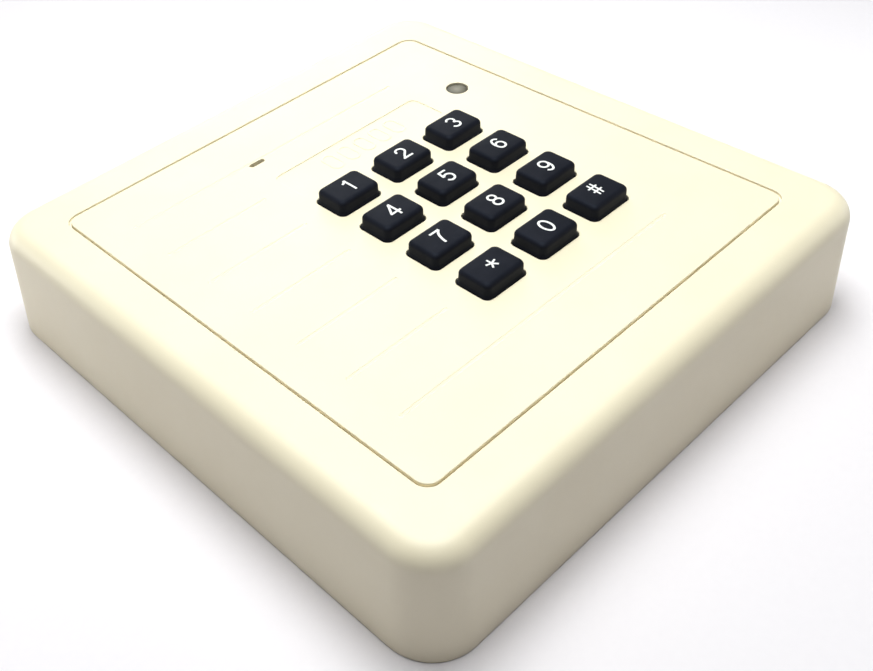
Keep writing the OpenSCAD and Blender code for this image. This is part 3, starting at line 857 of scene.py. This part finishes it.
def antenna_coil():
    """The winding, with one row of wires showing round its outside, and its two leads to the board."""
    low, high, turns = 3.76, 11.74, 18
    outline, pitch = [(52.76, low)], (high - low) / turns
    for i in range(turns):
        z = low + pitch * i
        outline += [(56.98, z + 0.01), (57.12, z + pitch * 0.2), (57.2, z + pitch * 0.5),
                    (57.12, z + pitch * 0.8)]
    winding = coil(outline + [(52.76, high)])
    show("antenna_winding", [winding], enamelled, "copper_wire", "antenna_coil", angle=70)
    for i, y in enumerate(LEAD_Y, 1):
        path = [(-53.3, y, 10.5), (-50.5, y, 10.5), (-49, y + 0.15, 10.62), (-47.2, y - 0.1, 10.6),
                (-45.8, y, 10.5), (-45.25, y, 10.3), (-45.05, y, 9.9), (-45, y, 9.5)]
        show("coil_lead_%d" % i, [tube(smooth_path(path), 0.3)], enamelled, "copper_wire", angle=60)
        joint = lathe([(0.9, 9.6), (0.82, 9.75), (0.55, 10.05), (0.4, 10.4), (0.33, 10.55)], (-45, y), 24)
        show("coil_joint_%d" % i, [joint], solder, "steel", angle=60)


def smooth_path(points, parts=5):
    """A Catmull-Rom curve through the points."""
    p = [Vector(q) for q in points]
    p = [2 * p[0] - p[1]] + p + [2 * p[-1] - p[-2]]
    out = []
    for a, b, c, d in zip(p, p[1:], p[2:], p[3:]):
        for t in [i / parts for i in range(parts)]:
            out.append(0.5 * (2 * b + (c - a) * t + (2 * a - 5 * b + 4 * c - d) * t ** 2
                              + (3 * b - a - 3 * c + d) * t ** 3))
    return [tuple(q) for q in out + [p[-2]]]


# ---------------- main board

HEADER_AT = [(40, -5 + (i - 5.5) * 2.54) for i in range(12)]
TERMINAL_PITCH, TERMINAL_Y = 5.08, -7
TERMINAL_X = [(i - 4.5) * TERMINAL_PITCH for i in range(10)]


def dog_leg(start, end, at_x):
    """A track's points from start to end with two 45-degree bends, the middle run at x = at_x."""
    (x0, y0), (x1, y1) = start, end
    cut = min(abs(y1 - y0) / 2, 1.2)
    sx, sy = math.copysign(1, x1 - x0), math.copysign(1, y1 - y0)
    bends = [(at_x - sx * cut, y0), (at_x, y0 + sy * cut), (at_x, y1 - sy * cut), (at_x + sx * cut, y1)]
    return [start] + bends + [end]


def frame_line(at, half, z):
    """A printed outline round a part."""
    x, y = half
    points = [(at[0] + dx, at[1] + dy) for dx, dy in ((-x, -y), (x, -y), (x, y), (-x, y))]
    return [strip(pair, 0.18, z) for pair in zip(points, points[1:] + points[:1])]


def main_board():
    cuts = [block((-12, -36, BOARD_LOW - 1), (12, -12, BOARD_TOP + 1), 0.02)]
    cuts += turnings([(1.3, BOARD_LOW - 1), (1.3, BOARD_TOP + 1)], POST_AT, 24)
    body = board(CENTRE, (46, 35), BOARD_LOW, BOARD_TOP)
    piece("main_board_body", body, mask_green, "circuit_board", "main_board", cuts=cuts)
    show("main_board_tracks", main_board_tracks(), track_green, "circuit_board")
    pads = [annulus(p, 0.45, 0.85, BOARD_TOP) for p in HEADER_AT]
    pads += [annulus(p, 1.32, 2.6, z) for p in POST_AT for z in (BOARD_TOP, BOARD_LOW - 0.05)]
    vias = [annulus((random.uniform(-43, 43), random.uniform(-9, 33)), 0.16, 0.34, BOARD_TOP, 0.045, 12)
            for _ in range(46)]
    show("main_board_pads", pads + vias, tin, "steel")
    outlines = []
    for node in ("voltage_regulator", "dip_switch_body", "header_socket", "tamper_switch_body",
                 "terminal_block"):
        centre, half = plan(*mm_box(node))
        outlines += frame_line(centre, grown(half, 0.6), BOARD_TOP)
    outlines += [annulus(at, 3.9, 4.08, BOARD_TOP, 0.04, 48) for at in node_places("filter_capacitors")]
    outlines.append(annulus((-6.9, 20.6), 0.3, 0.55, BOARD_TOP, 0.04))
    show("main_board_print", outlines, silk, "circuit_board")
    solder_side()


def main_board_tracks():
    """From the header and the terminals to the chips, and between the small parts."""
    tracks = [(dog_leg((39.4, y), (4.8, 14 + (i - 5.5) * 0.8), 27.5 + 0.75 * i), 0.32)
              for i, (_, y) in enumerate(HEADER_AT)]
    for i, x in enumerate(TERMINAL_X[:5]):
        left, rise, climb = -11 - 3 * (4 - i), 0.6 * i, 0.9 * i
        tracks.append(([(x, -6), (x, -1.5 + rise), (x - 1.2, -0.3 + rise), (left + 1, 1.2 + climb),
                        (left, 2.2 + climb), (left, 7.5)], 0.7))
    for x, bend, end in ((TERMINAL_X[5], 4.0, 1.2), (TERMINAL_X[6], 1.5, 2.2)):
        tracks.append(([(x, -6), (x, bend), (end, bend + x - end), (end, 7.6)], 0.45))
    for x, down, end in zip(TERMINAL_X[7:], (15.5, 17.7, 19.9), (-30, -22, -19.6)):
        tracks.append(([(x, -8), (x, -10.5), (down, -13.5), (down, end), (20.6, end)], 0.7))
    tracks += [([(x + 2.1, 8.6 + 4 * row), (x + 4.9, 8.6 + 4 * row)], 0.4)
               for row in range(6) for x in (-26, -21, -16)]
    tracks += [([(26, 27.5), (31, 27.5), (33, 25.5), (33, 18)], 1.6),
               ([(-38, 16.5), (-38, 12), (-36, 10), (-36, 6)], 0.5)]
    tracks += [([(-44.5, y), (-42, y), (-40.5, y - 3), (-40.5, y - 6)], 0.9) for y in LEAD_Y]
    return [strip(path, width, BOARD_TOP) for path, width in tracks]


def solder_side():
    """Joints and tracks on the underside, seen through the cable entry and the slots."""
    joints = turnings(above(BOARD_LOW, (0.8, 0), (0.6, -0.25), (0.3, -0.6), (0.15, -0.9)), HEADER_AT, 16)
    joints += turnings(above(BOARD_LOW, (1.3, 0), (1.0, -0.35), (0.6, -0.8), (0.4, -1.2)),
                       [(x, TERMINAL_Y) for x in TERMINAL_X], 16)
    show("solder_joints", joints, solder, "steel", angle=60)
    tracks = [strip([(x, -6), (x, 20 - 2 * i), (x + 3, 23 - 2 * i)], 0.8, BOARD_LOW - 0.04)
              for i, x in enumerate(TERMINAL_X)]
    show("solder_side_tracks", tracks, track_green, "circuit_board")


def gull_wing(at, turn, shift):
    """One lead of the square chip, from its side down to the board."""
    outline = [(4.85, 0.47), (5.35, 0.47), (5.62, 0.12), (6.38, 0.12), (6.38, 0.0), (5.55, 0.0),
               (5.28, 0.36), (4.85, 0.36)]
    sides = [turned([(x, shift + w) for x, _ in outline], at, turn) for w in (-0.17, 0.17)]
    return loft([[(x, y, BOARD_TOP + z) for (x, y), (_, z) in zip(side, outline)] for side in sides])


def microcontroller():
    at = (-2, 14)
    rings = [ring(at, (h, h), 0.15, BOARD_TOP + z, 2)
             for h, z in ((4.8, 0.1), (5, 0.75), (5, 0.85), (4.75, 1.45), (4.7, 1.5))]
    dimple = lathe([(0.5, BOARD_TOP + 1.42), (0.62, BOARD_TOP + 1.6)], (at[0] - 3.6, at[1] + 3.6), 24)
    piece("chip_package", loft(rings), chip_black, "chip_plastic", "microcontroller", cuts=[dimple])
    leads = [gull_wing(at, math.radians(90 * q), i * 0.8) for q in range(4) for i in range(-5, 6)]
    show("chip_leads", leads, tin, "steel")


def crystal():
    at = (14, 14)
    rings = stack(at, (5.8, 2.6), 2.55, above(BOARD_TOP, (0, 0), (0, 0.35), (0.15, 0.48), (0.3, 0.6)))
    rings += edge_rings(at, (5.5, 2.3), 2.25, BOARD_TOP + 2.8, 0.58)
    show("crystal_can_body", [loft(rings)], tin, "crystal_can", "crystal")


def voltage_regulator():
    x, y, z = 26, 24, BOARD_TOP
    rings = [ring((x, y), half, 0.1, z + h, 2) for half, h in
             (((3.25, 2.95), 0.02), ((3.3, 3), 1.2), ((3.12, 2.8), 2.22), ((3.05, 2.72), 2.3))]
    piece("regulator_package", loft(rings), chip_black, "chip_plastic", "voltage_regulator")
    legs = [block((x - 2.7, y + 2.8, z), (x + 2.7, y + 4.75, z + 0.5), 0.08)]
    for dx in (-2.3, 0, 2.3):
        legs.append(box_at((x + dx, y - 4.7), (0.35, 0.7), z, z + 0.45, 0.06))
        legs.append(box_at((x + dx, y - 3.6), (0.3, 0.8), z + 0.1, z + 0.6, 0.06))
    show("regulator_legs", legs, tin, "steel")


def filter_capacitors():
    """Two electrolytics: a shrunk sleeve rolled over at both ends and a scored metal top."""
    z, sleeves, cans, scores, stripes = BOARD_TOP, [], [], [], []
    outline = above(z, (3.3, 0), (3.55, 0.12), (3.6, 0.35), (3.6, 0.62), (3.42, 0.85), (3.4, 1.1),
                    (3.55, 1.32), (3.6, 1.6), (3.6, 6.9), (3.5, 7.12), (3.2, 7.18), (2.95, 7.16),
                    (2.93, 6.95), (3.1, 6.6), (3.1, 0.2))
    for at in node_places("filter_capacitors"):
        sleeves.append(loft([circle(at, r, h) for r, h in outline], closed=True))
        cans.append(lathe(above(z, (3.05, 6.0), (3.05, 6.85), (2.85, 7.04), (0.2, 7.05)), at))
        scores.append(plus_sign(at, 2.3, 0.09, z + 6.95, z + 7.2, random.uniform(0, 1), 1.0))
        band = arc(at, 3.61, 150, 200, 8) + arc(at, 3.5, 200, 150, 8)
        stripes.append(loft([[(x, y, h) for x, y in band] for h in (z + 1.7, z + 6.8)]))
    piece("capacitor_sleeves", joined(*sleeves), sleeve_blue, "capacitor_sleeve", "filter_capacitors")
    piece("capacitor_tops", joined(*cans), tin, "crystal_can", cuts=scores)
    show("capacitor_stripes", stripes, silk, "capacitor_sleeve")


def tuning_capacitors():
    shapes = []
    for low, high in islands("tuning_capacitors"):
        centre, half = plan(low, high)
        foot = ring(centre, (half[0] - 0.5, half[1] - 0.4), 0.5, low.z)
        shapes.append(loft([foot, ring(centre, half, 0.6, low.z + 0.6)]
                           + edge_rings(centre, half, 0.65, high.z - 0.6, 0.6)))
    piece("tuning_capacitor_bodies", joined(*shapes), film_red, "film_capacitor", "tuning_capacitors",
          angle=60)


def small_components():
    """Chip resistors and capacitors, and two bigger moulded ones, each with tinned ends."""
    dark, tan, ends = [], [], []
    for low, high in islands("small_components"):
        along = 0 if high.x - low.x > high.y - low.y else 1
        cap = 0.2 * (high[along] - low[along])
        inner_low, inner_high = low.copy(), high.copy()
        inner_low[along] += cap * 0.9
        inner_high[along] -= cap * 0.9
        inner_high.z -= 0.03
        (tan if high.z - low.z > 0.65 else dark).append(block(inner_low, inner_high, 0.05))
        for start in (low[along], high[along] - cap):
            a, b = low.copy(), high.copy()
            a[along], b[along] = start, start + cap
            if high.z - low.z > 1:
                b.z = low.z + 1.0
            ends.append(block(a, b, 0.06))
    piece("chip_parts_dark", joined(*dark), chip_black, "chip_plastic", "small_components")
    piece("chip_parts_tan", joined(*tan), chip_tan, "chip_plastic")
    piece("chip_part_ends", joined(*ends), solder, "steel")


def terminal_block():
    low, high = mm_box("terminal_block")
    y = TERMINAL_Y
    rings = [ring((0, y + dy), half, r, z, 2) for dy, half, r, z in
             ((0, (25.4, 4), 0.15, low.z), (0, (25.4, 4), 0.15, low.z + 5.2),
              (0.55, (25.4, 3.45), 0.15, high.z - 0.25), (0.55, (25.2, 3.25), 0.12, high.z))]
    cuts, cages, grooves = [], [], []
    for i, x in enumerate(TERMINAL_X):
        well = above(high.z, (1.8, -2.4), (1.8, -0.2), (2.0, 0.05), (2.2, 0.4))
        cuts.append(lathe(well, (x, y + 0.6), 28))
        cuts.append(box_at((x, y - 2.5), (1.5, 2.5), low.z + 1, low.z + 4))
        if i:
            grooves.append(box_at((x - TERMINAL_PITCH / 2, y - 4.225), (0.1, 0.375), low.z - 0.5,
                                  high.z + 0.5, 0.02))
        cages.append(box_at((x, y - 1.25), (1.35, 1.15), low.z + 1.02, low.z + 1.5, 0.05))
        cages.append(box_at((x, y - 1.15), (1.35, 1.05), low.z + 3.3, low.z + 3.95, 0.05))
    piece("terminal_body", loft(rings), terminal_green, "terminal_plastic", "terminal_block",
          cuts=cuts + grooves)
    show("terminal_cages", cages, tin, "steel")
    z, heads, slots = mm_box("terminal_screws")[0].z, [], []
    for at in node_places("terminal_screws"):
        profile = above(z, (1.6, 0), (1.7, 0.1), (1.7, 1.4), (1.6, 1.55), (1.45, 1.6))
        heads.append(lathe(profile, at, 28))
        outline = turned([(-2, -0.22), (2, -0.22), (2, 0.22), (-2, 0.22)], at, random.uniform(0, 3))
        slots.append(loft([[(px, py, h) for px, py in outline] for h in (z + 1.0, z + 2.5)]))
    piece("terminal_screw_heads", joined(*heads), zinc, "steel", "terminal_screws", cuts=slots)


def dip_switch():
    low, high = mm_box("dip_switch_body")
    xs = [low.x + 1.69 + 2.54 * i for i in range(4)]
    cuts = [box_at((x, -22), (0.65, 1.35), high.z - 1.2, high.z + 1, 0.02) for x in xs]
    piece("switch_body", block(low, high, 0.12), switch_red, "switch_plastic", "dip_switch_body", cuts=cuts)
    marks = [strip([(x - 0.4, high.y - 0.9), (x + 0.4, high.y - 0.9)], 0.28, high.z, 0.02) for x in xs]
    show("switch_marks", marks, silk, "switch_plastic")
    for i in range(1, 5):
        name = "dip_slider_%d" % i
        a, b = mm_box(name)
        centre, half = plan(a, b)
        rings = [ring(centre, (half[0] - d, h), 0.1, z, 2) for d, h, z in
                 ((0, 0.8, a.z), (0, 0.8, a.z + 1.12), (0.06, 0.72, a.z + 1.2), (0.1, 0.4, a.z + 1.22),
                  (0.1, 0.38, b.z - 0.08), (0.18, 0.3, b.z))]
        piece("slider_%d" % i, loft(rings), slider_white, "slider_plastic", name, body=name)


def header_socket():
    low, high = mm_box("header_socket")
    cuts = [box_at(p, (0.5, 0.5), low.z + 1, high.z + 1, 0.02) for p in HEADER_AT]
    piece("socket_body", block(low, high, 0.15), black_plastic, "connector_plastic", "header_socket",
          cuts=cuts)


def tamper_switch():
    at, (low, high) = (-38, 20), mm_box("tamper_switch_body")
    bore = lathe([(1.25, low.z + 0.9), (1.25, high.z + 1)], at, 28)
    shapes = [loft([ring(at, (h, h), r, z, 3) for h, r, z in rows]) for rows in
              (((3, 0.3, low.z), (3, 0.3, high.z - 0.5), (2.85, 0.3, high.z - 0.3)),
               ((2.95, 0.3, high.z - 0.32), (2.95, 0.3, high.z - 0.05), (2.85, 0.25, high.z)))]
    piece("tamper_body", shapes[0], black_plastic, "tamper_plastic", "tamper_switch_body", cuts=[bore])
    piece("tamper_cover", shapes[1], tin, "steel", cuts=[bore])
    z0, z1 = [v.z for v in mm_box("tamper_plunger")]
    stem = lathe(above(z0, (1.15, 0), (1.2, 0.05)) + above(z1, (1.2, -0.3), (1.1, -0.1), (0.9, 0)), at, 28)
    piece("plunger_stem", stem, switch_red, "plunger_plastic", "tamper_plunger", body="tamper_plunger")


# ---------------- behind the front panel

def keypad_board():
    low, high = mm_box("keypad_board")
    holes = turnings([(1.2, low.z - 1), (1.2, high.z + 1)], node_places("panel_screws"), 24)
    holes.append(lipped_cut(spot("beeper"), grown(SLOT_HALF, 0.5), 0.6, low.z - 1, 0.05, high.z + 0.5))
    piece("keypad_board_body", board(*plan(low, high), low.z, high.z), mask_green, "circuit_board",
          "keypad_board", body="panel", cuts=holes)
    tracks, pads = [], []
    row_pins = {11: "1", 8: "4", 3: "7", 0: "star"}  # header pins, and the first key of the row of each
    for i, (_, y) in enumerate(HEADER_AT):
        pads.append(lathe([(0.75, low.z), (0.6, low.z - 0.2), (0.45, low.z - 0.5)], (40, y), 14))
        if i in row_pins:
            x, row_y = spot("key_" + row_pins[i])
            path = dog_leg((39.6, y), (x + 2, row_y), 34)
        else:
            path = [(39.6, y), (36.5 - 0.6 * (i % 2), y)]
            pads.append(annulus((36.2 - 0.6 * (i % 2), y), 0.2, 0.5, low.z - 0.05))
        tracks.append(strip(path, 0.35, low.z - 0.04))
    for x, y in [spot("key_" + name) for name in KEYS]:
        pads.append(annulus((x + 2, y), 0.2, 0.5, low.z - 0.05))
    show("keypad_board_tracks", tracks, track_green, "circuit_board", body="panel")
    show("keypad_board_pads", pads, tin, "steel", body="panel")
    outlines = [annulus(spot("beeper"), 6.3, 6.5, low.z - 0.04, 0.04, 64)]
    outlines += frame_line((40, -5), (1.7, 16), low.z - 0.04)
    show("keypad_board_print", outlines, silk, "circuit_board", body="panel")


def board_header():
    low, high = mm_box("board_header")
    base = block((low.x, low.y, high.z - 2.5), high, 0.15)
    piece("header_base", base, black_plastic, "connector_plastic", "board_header", body="panel")
    pins = [loft([ring(at, (h, h), 0.05, z, 2) for h, z in
                  ((0.16, low.z), (0.31, low.z + 0.6), (0.32, high.z - 2.4))]) for at in HEADER_AT]
    show("header_pins", pins, gold, "contact_gold", body="panel")


def beeper():
    at, (low, high) = spot("beeper"), mm_box("beeper")
    profile = above(low.z, (5.4, 0), (5.85, 0.15), (6, 0.5))
    profile += above(high.z, (6, -0.3), (5.9, -0.05), (5.7, 0))
    cuts = [lathe([(1.2, high.z - 1.2), (1.2, high.z + 1)], at, 28),
            annulus(at, 4.6, 4.8, low.z - 0.1, 0.2, 48)]
    piece("beeper_can", lathe(profile, at, 64), black_plastic, "beeper_plastic", "beeper", body="panel",
          cuts=cuts)


def status_led():
    low, high = mm_box("status_led")
    base = block(low, (high.x, high.y, low.z + 0.6), 0.08)
    piece("led_base", base, slider_white, "led_white", "status_led", body="panel")
    dome = lathe([(1.1, low.z + 0.6), (1.05, low.z + 0.7), (0.9, high.z - 0.02), (0.4, high.z)],
                 spot("status_led"), 28)
    piece("led_phosphor_cap", dome, phosphor, "led_white", body="panel")


def build():
    housing_shell()
    back_plate()
    screws("back_screws", BOSS_AT, 1.5, 1, 1.25, 10, 2.75, 1.3, "back_plate_screws")
    rear_seal()
    coil_bobbin()
    antenna_coil()
    main_board()
    screws("board_screws", POST_AT, BOARD_TOP, -1, 1.1, 5.5, 2.2, 1.4, "main_board_screws")
    for make in (microcontroller, crystal, voltage_regulator, filter_capacitors, tuning_capacitors,
                 small_components, terminal_block, dip_switch, header_socket, tamper_switch):
        make()
    front_panel()
    for name in KEYS:
        key(name)
        legend(name)
        keep("contact_pill_" + name, carbon, 0.08)
    status_lens()
    status_led()
    keypad_board()
    keep("keypad_mat", rubber, 0.12)
    keep("keypad_contacts", gold)
    seat = mm_box("panel_screws")[0].z + 1.2
    screws("panel_screw_set", node_places("panel_screws"), seat, 1, 1.0, DEPTH - 1.4 - seat, 2.0, 1.2,
           "panel_screws", "panel", 0.45)
    board_header()
    beeper()


build()


# ---------------- floor, light and camera

BACKDROP, BACKDROP_STRENGTH = (0.96, 0.97, 1.0), 0.93
GLOW_FROM, GLOW_HALF, GLOW_FULL = 0.26, 0.42, 0.7  # metres from the object's middle


def paper_floor():
    """White paper that glows beyond the softboxes' reach, so that low views stay as pale."""
    look = Look("white_sweep", IOR=1.4, Emission_Color=(*BACKDROP, 1))
    fibre = look.noise(600, 4, 0.6)
    distance = look.add("ShaderNodeVectorMath", operation="LENGTH")
    look.link(look.coords, distance.inputs[0])
    glow = look.ramp(distance.outputs["Value"], (GLOW_FROM, BLACK), (GLOW_HALF, shaded(WHITE, 0.5)),
                     (GLOW_FULL, shaded(WHITE, BACKDROP_STRENGTH)))
    material = look.set(Base_Color=look.mix(fibre, (0.85, 0.815, 0.87), (0.88, 0.845, 0.90)),
                        Roughness=look.span(fibre, 0.75, 0.9), Normal=look.bump(fibre, 0.02, 0.3),
                        Emission_Strength=glow)
    new_object("floor", loft([square(4000, 50, z, 4) for z in (-20, 0)]), material)


def area_light(name, at, size, watts, toward=(0, 0, 0)):
    data = bpy.data.lights.new(name, "AREA")
    data.shape = "RECTANGLE"
    data.size, data.size_y = size
    data.energy = watts
    data.color = (0.97, 1.0, 0.965)
    light = bpy.data.objects.new(name, data)
    light.location = at
    light.rotation_euler = (Vector(toward) - Vector(at)).to_track_quat("-Z", "Y").to_euler()
    light.visible_camera = False
    bpy.context.scene.collection.objects.link(light)


def studio():
    """Softboxes overhead and behind and two small fills, before a backdrop that lights nothing."""
    world = bpy.data.worlds.new("studio")
    world.use_nodes = True
    bpy.context.scene.world = world
    background = world.node_tree.nodes["Background"]
    background.inputs["Color"].default_value = (*BACKDROP, 1)
    background.inputs["Strength"].default_value = BACKDROP_STRENGTH
    seen_by = world.cycles_visibility
    seen_by.diffuse = seen_by.glossy = seen_by.transmission = seen_by.scatter = False
    area_light("overhead_softbox", (0, 0, 0.5), (0.3, 0.3), 0.68)
    area_light("near_softbox", (0.006, 0.006, 0.35), (0.25, 0.25), 1.29)
    area_light("rear_softbox", (0.1, 0.35, 0.45), (0.3, 0.3), 0.33)
    area_light("back_strip", (0.3, 0.4, 0.2), (0.3, 0.2), 0.80)
    area_light("left_fill", (-0.14, 0.2, 0.05), (0.08, 0.05), 0.11, (-0.07, 0.07, 0.01))
    area_light("right_fill", (0.2, -0.12, 0.05), (0.08, 0.05), 0.05, (0.06, -0.07, 0.01))
    view = bpy.context.scene.view_settings
    view.view_transform = "Standard"
    view.look = "None"
    view.exposure = 0.0


AZIMUTH, ELEVATION, ROLL = -38.706, 39.128, -5.724  # degrees
DISTANCE = 234.17  # mm, from the target to the lens
TARGET = (-17.721, 13.686, 12.7)
LENS_MM, SENSOR_MM = 46.415, 36.0
SHIFT = (0.1449, -0.0750)


def camera():
    """Swung round the target by azimuth and elevation, and rolled about the line of sight."""
    data = bpy.data.cameras.new("camera")
    data.sensor_width, data.lens = SENSOR_MM, LENS_MM
    data.shift_x, data.shift_y = SHIFT
    data.clip_start = 0.01
    obj = bpy.data.objects.new("camera", data)
    matrix = Matrix.Translation(Vector(TARGET) * MM)
    for angle, axis in ((AZIMUTH, "Z"), (90 - ELEVATION, "X"), (ROLL, "Z")):
        matrix = matrix @ Matrix.Rotation(math.radians(angle), 4, axis)
    obj.matrix_world = matrix @ Matrix.Translation((0, 0, DISTANCE * MM))
    bpy.context.scene.collection.objects.link(obj)
    bpy.context.scene.camera = obj


paper_floor()
studio()
camera()
